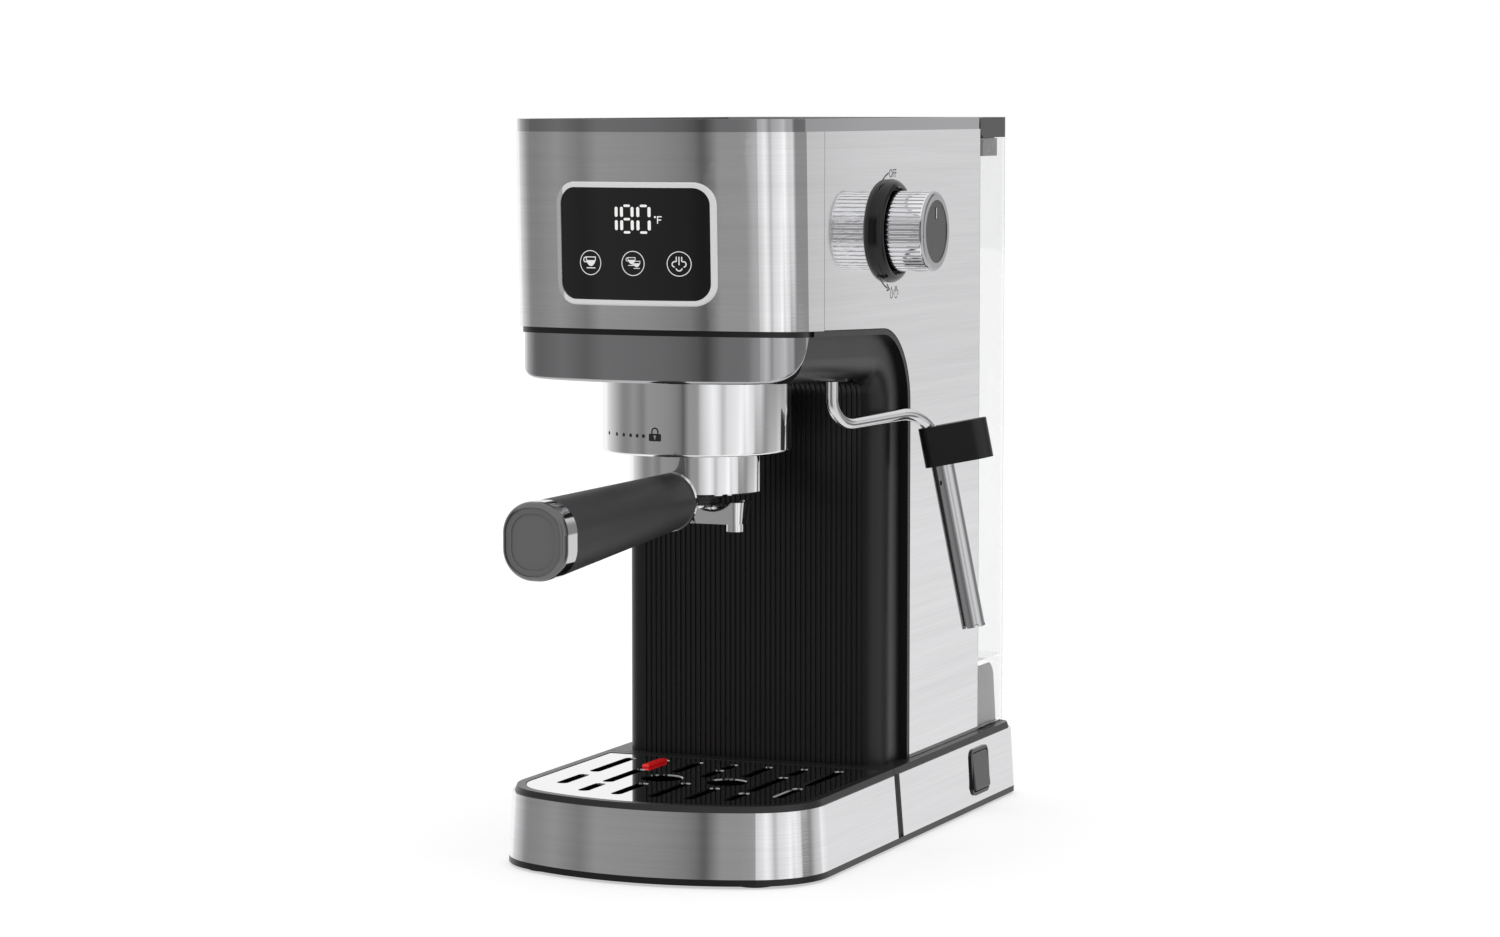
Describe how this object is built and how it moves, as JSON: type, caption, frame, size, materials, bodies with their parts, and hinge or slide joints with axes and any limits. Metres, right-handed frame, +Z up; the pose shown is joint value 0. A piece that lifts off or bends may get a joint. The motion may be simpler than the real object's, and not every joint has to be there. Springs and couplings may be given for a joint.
{
  "type": "espresso machine",
  "caption": "Slim pump espresso machine with a steel body, ribbed column, touch display, portafilter, swivel steam wand, drip tray and lift-off rear tank.",
  "frame": {"origin": "on the worktop under the centre of the base's footprint", "axes": "+Z up, +Y to the rear (the water tank), -Y to the front (the portafilter's handle), +X to the side with the steam knob"},
  "size_m": [0.1712, 0.3759, 0.311],
  "materials": {
    "black_plastic": "fine satin black moulding",
    "gloss_black": "glossy black",
    "brushed_steel": "brushed stainless steel",
    "chrome": "bright polished chrome",
    "polished_steel": "mirror-polished stainless steel",
    "grey_plastic": "mid-grey moulding",
    "dark_grey_plastic": "dark grey moulding",
    "clear_plastic": "clear moulding",
    "screen_glass": "black glass",
    "rubber": "black rubber",
    "silicone": "milky silicone",
    "red_plastic": "bright red",
    "aluminium": "cast",
    "brass": "machined",
    "zinc_steel": "plain zinc-plated steel",
    "circuit_board": "green board"
  },
  "bodies": {
    "machine": {"base_floor": "black_plastic", "rubber_feet": "rubber", "base_screws": "zinc_steel", "rear_base_housing": "black_plastic", "rear_base_band": "brushed_steel", "switch_frame": "black_plastic", "cord_inlet": "rubber", "front_skin": "brushed_steel", "side_panel_right": "brushed_steel", "side_panel_left": "brushed_steel", "body_housing": "black_plastic", "rear_panel": "black_plastic", "top_trim": "chrome", "top_cover": "brushed_steel", "head_floor": "black_plastic", "column_cover": "gloss_black", "brew_pan": "chrome", "group_shroud": "chrome", "group_head": "aluminium", "group_gasket": "rubber", "shower_screen": "polished_steel", "wand_socket": "black_plastic", "knob_bezel": "gloss_black", "steam_valve": "brass", "display_bezel": "chrome", "display_glass": "screen_glass", "circuit_boards": "circuit_board", "boiler": "aluminium", "boiler_fittings": "zinc_steel", "pump_body": "brass", "pump_coil": "dark_grey_plastic", "pump_mounts": "rubber", "water_hoses": "silicone", "steam_pipe": "brass", "tank_dock": "grey_plastic", "dock_seal": "silicone"},
    "portafilter": {"portafilter_body": "chrome", "filter_basket": "polished_steel", "basket_spring": "zinc_steel", "portafilter_spout": "chrome", "spout_nut": "black_plastic", "handle_grip": "black_plastic", "handle_cap": "chrome", "handle_end_plate": "grey_plastic"},
    "drip_tray": {"drip_tray": "black_plastic", "drip_tray_band": "brushed_steel"},
    "drip_grid": {"drip_grid": "polished_steel"},
    "tray_float": {"tray_float": "red_plastic"},
    "steam_wand": {"wand_tube": "chrome", "wand_grip": "black_plastic"},
    "froth_sleeve": {"froth_sleeve": "polished_steel"},
    "steam_knob": {"steam_knob": "chrome", "knob_face": "gloss_black", "valve_spindle": "brass"},
    "rocker": {"switch_rocker": "gloss_black"},
    "water_tank": {"water_tank": "clear_plastic", "tank_filter": "dark_grey_plastic"},
    "tank_lid": {"tank_lid": "dark_grey_plastic"},
    "tank_plunger": {"valve_plunger": "dark_grey_plastic", "valve_spring": "zinc_steel"}
  },
  "joints": [
    {"name": "portafilter_twist", "type": "hinge", "parent": "machine", "child": "portafilter", "pos_m": [0, -0.0714, 0.19], "axis": [0, 0, 1], "range_deg": [-45, 0]},
    {"name": "drip_tray_slide", "type": "slide", "parent": "machine", "child": "drip_tray", "axis": [0, -1, 0], "range_m": [0, 0.13]},
    {"name": "drip_grid_lift", "type": "slide", "parent": "drip_tray", "child": "drip_grid", "axis": [0, 0, 1], "range_m": [0, 0.03]},
    {"name": "float_rise", "type": "slide", "parent": "drip_tray", "child": "tray_float", "axis": [0, 0, 1], "range_m": [0, 0.008]},
    {"name": "steam_knob_turn", "type": "hinge", "parent": "machine", "child": "steam_knob", "pos_m": [0.0636, -0.0127, 0.2633], "axis": [1, 0, 0], "range_deg": [0, 180]},
    {"name": "wand_swivel", "type": "hinge", "parent": "machine", "child": "steam_wand", "pos_m": [0.048, -0.039, 0.1812], "axis": [0, 0, 1], "range_deg": [-95, 0]},
    {"name": "sleeve_slip", "type": "slide", "parent": "steam_wand", "child": "froth_sleeve", "axis": [0.1937, 0.0272, -0.9807], "range_m": [0, 0.065]},
    {"name": "rocker_tilt", "type": "hinge", "parent": "machine", "child": "rocker", "pos_m": [0.0684, 0.0872, 0.01751], "axis": [0, 1, 0], "range_deg": [0, 8]},
    {"name": "tank_lift", "type": "slide", "parent": "machine", "child": "water_tank", "axis": [0, 0, 1], "range_m": [0, 0.06]},
    {"name": "lid_hinge", "type": "hinge", "parent": "water_tank", "child": "tank_lid", "pos_m": [0, 0.1082, 0.3065], "axis": [1, 0, 0], "range_deg": [0, 85]},
    {"name": "plunger_stroke", "type": "slide", "parent": "water_tank", "child": "tank_plunger", "axis": [0, 0, 1], "range_m": [-0.003, 0], "deforming": ["valve_spring"]}
  ],
  "couplings": [
    {"joint": "plunger_stroke", "follows": "tank_lift", "ratio": -0.05}
  ]
}
